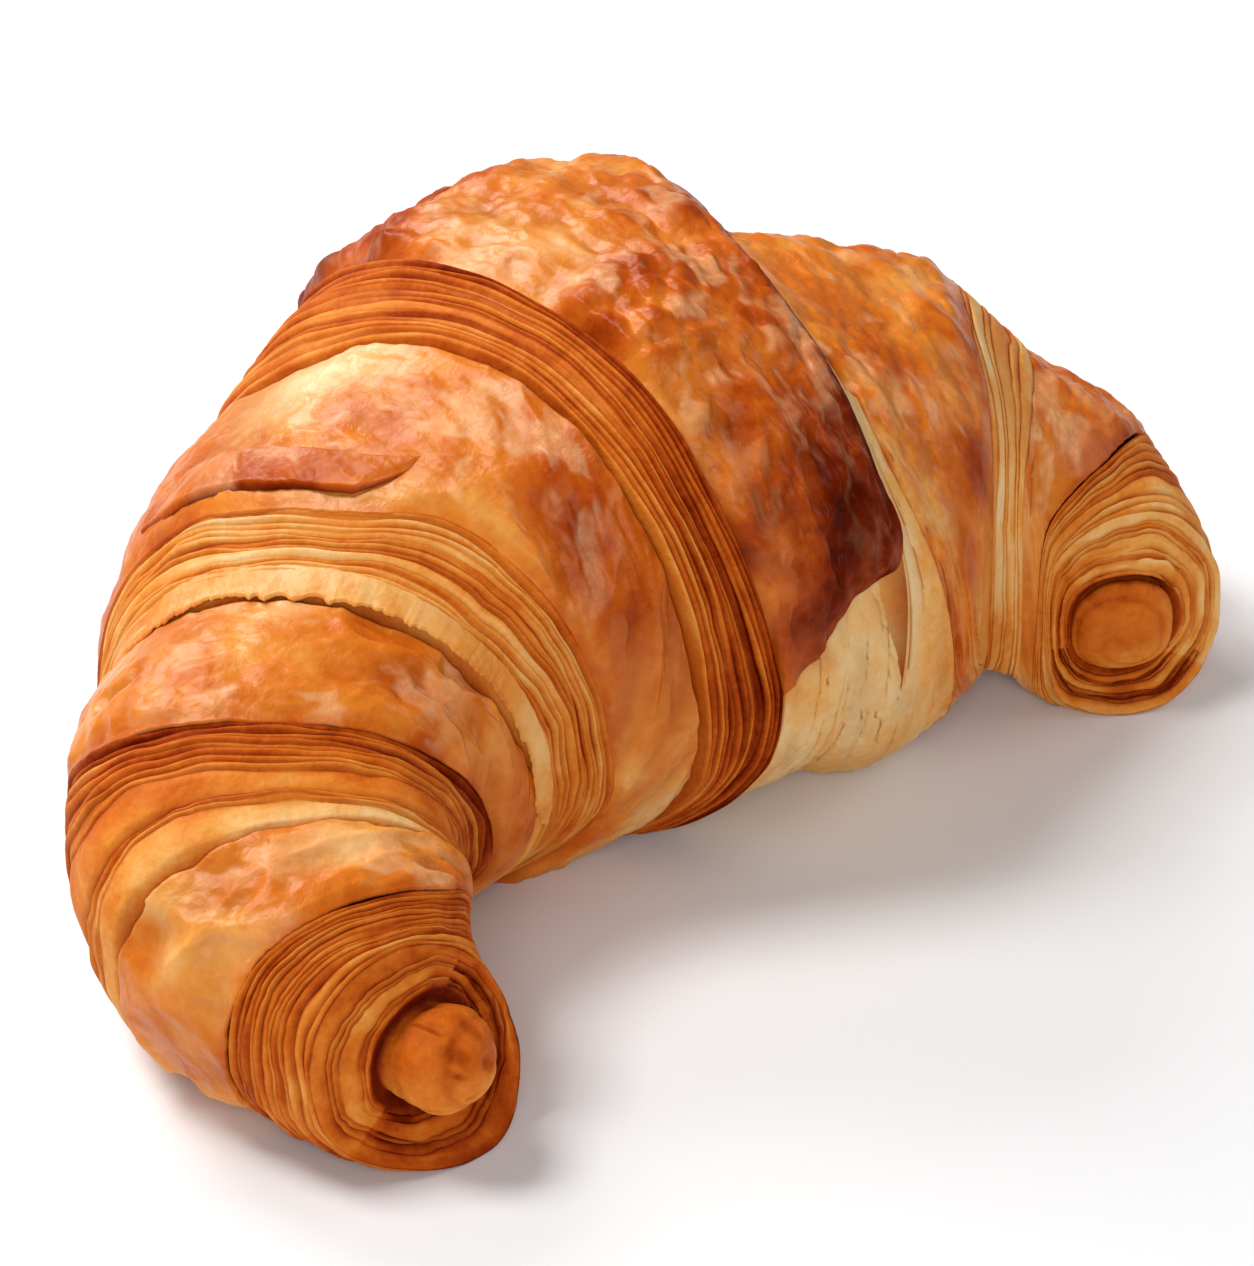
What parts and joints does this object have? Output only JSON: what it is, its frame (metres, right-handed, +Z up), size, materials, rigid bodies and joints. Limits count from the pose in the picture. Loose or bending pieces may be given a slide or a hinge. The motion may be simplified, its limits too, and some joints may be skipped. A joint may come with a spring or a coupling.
{
  "type": "croissant",
  "caption": "Plump laminated croissant, a stepped roll bent into a crescent with curled tips and a flat underside.",
  "frame": {"origin": "middle of the bounding box, on the underside that it rests on", "axes": "+X from the left tip to the right tip, +Y towards the outer curve of the crescent, +Z up"},
  "size_m": [0.1558, 0.1014, 0.0659],
  "materials": {
    "crust": "egg-washed golden brown baked crust, glossy on the skins and matt on the layered edges"
  },
  "bodies": {
    "root": {"croissant": "crust"}
  },
  "joints": []
}
